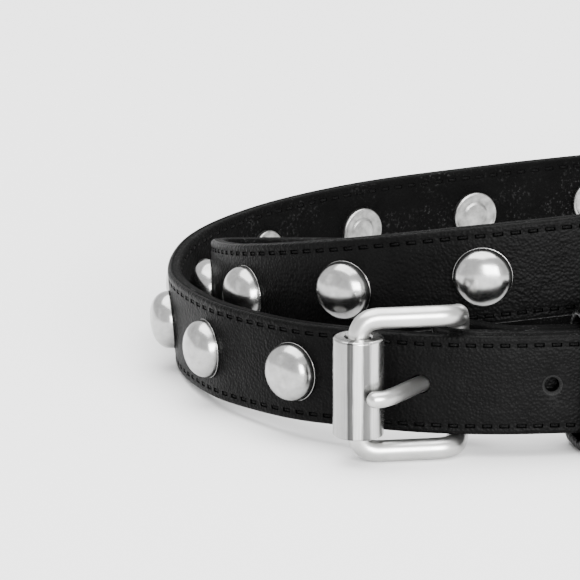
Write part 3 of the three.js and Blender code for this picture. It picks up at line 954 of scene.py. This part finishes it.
def dome_profile(bend):
    """The dome from its top down, with a thin lip and a foot in the leather: (radius, out)."""
    base = HALF_THICKNESS + SEAT_CLEARANCE
    fullness = 2 / DOME_FULLNESS
    dome = [
        (STUD_RADIUS * math.cos(a) ** fullness, base + STUD_HEIGHT * math.sin(a) ** fullness)
        for a in np.linspace(0.5 * math.pi, 0.03, DOME_SECTIONS)
    ]
    dome[0] = (LATHE_TOP_RADIUS, base + STUD_HEIGHT)
    lip = [
        (STUD_RADIUS + STUD_LIP * math.cos(a), base - 0.03 + STUD_LIP * math.sin(a))
        for a in np.linspace(0.5 * math.pi, -0.2 * math.pi, 6)
    ]
    foot = HALF_THICKNESS - 0.25 - 2 * bend * STUD_RADIUS**2
    return [*dome, *lip, (STUD_RADIUS - 0.25, foot), (LATHE_TOP_RADIUS, foot)]


def cap_profile(bend):
    """The cap on the inner face, from its foot in the leather to its middle: (radius, out)."""
    foot = -HALF_THICKNESS + 0.2
    back = -HALF_THICKNESS - SEAT_CLEARANCE - bend * CAP_RADIUS**2
    top = back - CAP_HEIGHT
    # The rim is measured from the cap's radius, and the ring in its middle in shares of it.
    rim = [(-0.15, foot), (-0.05, back), (0, top + 0.5), (-0.06, top + 0.24), (-0.2, top + 0.06)]
    rim += [(-0.38, top), (-0.55, top + 0.06), (-0.72, top + 0.26)]
    middle_ring = [(0.62, 0.3), (0.55, 0.24), (0.5, 0.1), (0.45, 0.03)]
    return [
        (LATHE_TOP_RADIUS, foot),
        *[(CAP_RADIUS + inset, out) for inset, out in rim],
        *[(share * CAP_RADIUS, top + sunk) for share, sunk in middle_ring],
        (LATHE_TOP_RADIUS, top + 0.05),
    ]


def curvature(distance):
    """The strap's bend at a distance, in radians a millimetre."""
    before, after = (strap_frames(distance + s * BEND_SPAN).tangent[0] for s in (-1, 1))
    return math.acos(min(1.0, float(before @ after))) / (2 * BEND_SPAN)


def stud(number):
    """A dome and the cap behind it."""
    name = f"stud_{number:02d}"
    distance = number * stud_pitch
    bend = curvature(distance) / 2
    points, faces, material_of = [], [], []
    count = 0
    for material, profile in enumerate((dome_profile(bend), cap_profile(bend))):
        points += put_on(strap_frames(distance), profile, STUD_SIDES).reshape(-1, 3).tolist()
        new = tube_faces(len(profile), STUD_SIDES)
        faces += [[count + v for v in face] for face in new]
        material_of += [material] * len(new)
        count = len(points)
    made = make_object(name + "_polished", points, faces, [dome_metal, cap_metal], material_of)
    smooth_by_angle(made, STUD_SHARP_ANGLE)
    return keep(made, "polished_studs", name)


for number in range(1, stud_count + 1):
    stud(number)


# The buckle


def rounded_loop(corners, reaches):
    """Points of a closed line whose corners are rounded over their reach to both sides."""
    corners = np.asarray(corners, float)
    before = unit(corners - np.roll(corners, 1, axis=0))
    after = unit(np.roll(corners, -1, axis=0) - corners)
    reach = np.asarray(reaches)[:, None]
    start, end = corners - before * reach, corners + after * reach
    points = []
    w = np.linspace(0, 1, FRAME_CORNER_SECTIONS)[:, None]
    run = np.linspace(0, 1, FRAME_RUN_SECTIONS)[1:-1, None]
    for k in range(len(corners)):
        points.append((1 - w) ** 2 * start[k] + 2 * w * (1 - w) * corners[k] + w**2 * end[k])
        points.append(end[k] + run * (start[(k + 1) % len(corners)] - end[k]))
    return np.vstack(points)


def closed_tube(points, radius, sides):
    """Rings round a closed line, turned little by little so that the last meets the first."""
    tangent = unit(np.roll(points, -1, axis=0) - np.roll(points, 1, axis=0))
    normal = np.zeros_like(points)
    normal[0] = unit(np.cross(tangent[0], [0.3, 1.0, 0.2]))
    for k in range(1, len(points)):
        carried = normal[k - 1] - tangent[k] * (normal[k - 1] @ tangent[k])
        normal[k] = unit(carried)
    last = unit(normal[-1] - tangent[0] * (normal[-1] @ tangent[0]))
    side = np.cross(tangent[0], normal[0])
    twist = math.atan2(last @ side, last @ normal[0])
    turn = -twist * np.arange(len(points)) / len(points)
    binormal = np.cross(tangent, normal)
    angle = (around(sides) + turn[:, None])[..., None]
    spread = np.cos(angle) * normal[:, None] + np.sin(angle) * binormal[:, None]
    return points[:, None] + radius * spread


def buckle_frame():
    top, bottom = buckle_z + BAR_SPACING / 2, buckle_z - BAR_SPACING / 2
    arm_end = heel_axis + heel_seat.outward[0] * ARM_END_SET_BACK

    def at(axis, z):
        return (axis[0], axis[1], z)

    corners = [
        at(roller_axis, bottom),
        at(roller_axis, top),
        at(arm_end, top),
        at(heel_axis, strap_z + heel_bar_reach),
        at(heel_axis, strap_z - heel_bar_reach),
        at(arm_end, bottom),
    ]
    corner, arm, heel = FRAME_CORNER_REACH, ARM_END_REACH, HEEL_CORNER_REACH
    loop = rounded_loop(corners, [corner, corner, arm, heel, heel, arm])
    rings = closed_tube(loop, WIRE_RADIUS, FRAME_SIDES)
    faces = tube_faces(len(loop), FRAME_SIDES, closed=True)
    return keep(make_object("buckle_frame", rings, faces, [buckle_metal]), "buckle_metal", "frame")


def roller():
    half = ROLLER_LENGTH / 2
    edge, chamfer = ROLLER_EDGE_ROUND, ROLLER_BORE_CHAMFER
    outer = [
        (ROLLER_RADIUS - edge + edge * math.sin(a), half - edge + edge * math.cos(a))
        for a in np.linspace(0, math.pi / 2, ROLLER_EDGE_SECTIONS)
    ]
    profile = [(ROLLER_BORE + chamfer, half), *outer]
    profile += [(radius, -height) for radius, height in profile[::-1]]
    profile += [(ROLLER_BORE, -half + chamfer), (ROLLER_BORE, half - chamfer)]
    radius, height = np.array(profile)[:, :, None].transpose(1, 0, 2)
    angle = -around(ROLLER_SIDES)
    x = roller_axis[0] + radius * np.cos(angle)
    y = roller_axis[1] + radius * np.sin(angle)
    points = np.stack([x, y, buckle_z + height + np.zeros_like(x)], axis=-1)
    faces = tube_faces(len(profile), ROLLER_SIDES, closed=True)
    made = make_object("buckle_roller", points, faces, [roller_metal])
    smooth_by_angle(made, ROLLER_SHARP_ANGLE)
    return keep(made, "buckle_metal", "roller")


def tongue():
    wire = tongue_wire(TONGUE_RADIUS, TONGUE_SIDES, TONGUE_SECTIONS)
    turn = around(EYE_SECTIONS)
    ring = np.stack([np.cos(turn), np.sin(turn), np.zeros(EYE_SECTIONS)], axis=1)[:, None]
    angle = around(EYE_SIDES)[:, None]
    spread = -np.cos(angle) * ring + np.sin(angle) * UP
    centre = np.array([heel_axis[0], heel_axis[1], strap_z])
    eye = centre + tongue_eye_radius * ring + TONGUE_EYE_WIRE * spread
    count = TONGUE_SECTIONS * TONGUE_SIDES
    eye_faces = tube_faces(EYE_SECTIONS, EYE_SIDES, closed=True)
    faces = tube_faces(TONGUE_SECTIONS, TONGUE_SIDES)
    faces += [[count + v for v in face] for face in eye_faces]
    points = np.vstack([wire.reshape(-1, 3), eye.reshape(-1, 3)])
    made = make_object("buckle_tongue", points, faces, [buckle_metal])
    return keep(made, "buckle_metal", "tongue")


buckle_frame()
roller()
tongue()


# The keeper


def keeper():
    """A rounded loop round the layers, whose band has rounded edges and a low crown."""
    inner_out = HALF_THICKNESS + KEEPER_SLACK
    inner_in = -HALF_THICKNESS - (KEEPER_LAYERS - 1) * LAYER_STEP - KEEPER_SLACK
    reach = HALF_WIDTH + KEEPER_EDGE_SLACK
    corners = [
        # out, up, start angle of each corner
        (inner_out - KEEPER_CORNER, reach - KEEPER_CORNER, 0),
        (inner_in + KEEPER_CORNER, reach - KEEPER_CORNER, 90),
        (inner_in + KEEPER_CORNER, -reach + KEEPER_CORNER, 180),
        (inner_out - KEEPER_CORNER, -reach + KEEPER_CORNER, 270),
    ]

    def on_corner(corner, degrees):
        a = math.radians(degrees)
        direction = np.array([math.cos(a), math.sin(a)])
        return np.array(corner[:2]) + KEEPER_CORNER * direction, direction

    base = []
    for corner, following in zip(corners, corners[1:] + corners[:1]):
        for degrees in np.linspace(corner[2], corner[2] + 90, KEEPER_CORNER_SECTIONS):
            base.append(on_corner(corner, degrees))
        begin, _ = on_corner(corner, following[2])
        end, direction = on_corner(following, following[2])
        for w in np.linspace(0, 1, KEEPER_RUN_SECTIONS)[1:-1]:
            base.append(((1 - w) * begin + w * end, direction))

    half, thick, r = KEEPER_WIDTH / 2, KEEPER_THICKNESS, KEEPER_EDGE_ROUND
    section = []
    for centre_along, centre_off, start in (
        (half - r, thick - r, 0),
        (-half + r, thick - r, 90),
        (-half + r, r, 180),
        (half - r, r, 270),
    ):
        for a in np.radians(np.linspace(start, start + 90, KEEPER_EDGE_STEPS)):
            section.append((centre_along + r * math.cos(a), centre_off + r * math.sin(a)))
        if start == 0:
            section += [(half * w, thick + KEEPER_CROWN * (1 - w * w)) for w in KEEPER_CROWN_ROWS]

    along, off = np.array(section).T
    ring, normal = np.array(base).transpose(1, 0, 2)
    place = ring[:, None, :] + off[None, :, None] * normal[:, None, :]
    along = np.broadcast_to(along, place.shape[:2])
    frames = strap_frames(-KEEPER_DISTANCE)
    points = frames.put(along[None], place[None, ..., 0], place[None, ..., 1])
    faces = tube_faces(len(base), len(section), closed=True)
    made = make_object("belt_keeper", points, faces, [keeper_leather])
    return keep(made, "strap_leather", "keeper")


keeper()


# Floor, camera and light


def floor():
    bpy.ops.mesh.primitive_plane_add(size=FLOOR_METRES, location=(0, 0, -FLOOR_DROP_METRES))
    plane = bpy.context.object
    plane.name = "floor"
    material, tree, shader = new_material("pale floor")
    tone = ramp(tree, noise(tree, placed(tree), 0.002, 2), (0.3, 0.8), (0.7, 0.82))
    tree.links.new(tone, shader.inputs["Base Color"])
    shader.inputs["Roughness"].default_value = 0.9
    shader.inputs["Specular IOR Level"].default_value = 0.1
    plane.data.materials.append(material)


def camera():
    """The photo's view: from the front, a little down, from far off with a long lens."""
    level, fall = math.cos(math.radians(VIEW_DOWN)), math.sin(math.radians(VIEW_DOWN))
    forward = np.array([0, level, -fall])
    upward = np.array([0, fall, level])
    right = np.array([1.0, 0, 0])
    place = CAMERA_AIM_HEIGHT * UP - CAMERA_DISTANCE * forward + SHIFT
    aim = unit(forward + CAMERA_AIM_RIGHT * right + CAMERA_AIM_UP * upward)
    data = bpy.data.cameras.new("camera")
    data.sensor_width = 36
    data.lens = CAMERA_LENS
    data.clip_start, data.clip_end = 0.1, 50
    made = bpy.data.objects.new("camera", data)
    made.location = place * MM
    made.rotation_euler = Vector(aim).to_track_quat("-Z", "Y").to_euler()
    bpy.context.scene.collection.objects.link(made)
    bpy.context.scene.camera = made


def area_light(name, place, size, power):
    data = bpy.data.lights.new(name, "AREA")
    data.shape = "RECTANGLE"
    data.size, data.size_y = size
    data.energy = power
    made = bpy.data.objects.new(name, data)
    made.location = place
    aim = Vector(LIGHT_AIM) - Vector(place)
    made.rotation_euler = aim.to_track_quat("-Z", "Y").to_euler()
    bpy.context.scene.collection.objects.link(made)


def studio():
    world = bpy.data.worlds.new("studio")
    world.use_nodes = True
    background = world.node_tree.nodes["Background"]
    background.inputs["Color"].default_value = (1, 1, 1, 1)
    background.inputs["Strength"].default_value = WORLD_STRENGTH
    bpy.context.scene.world = world
    for name, place, size, power in LIGHTS:
        area_light(name, place, size, power)


floor()
camera()
studio()
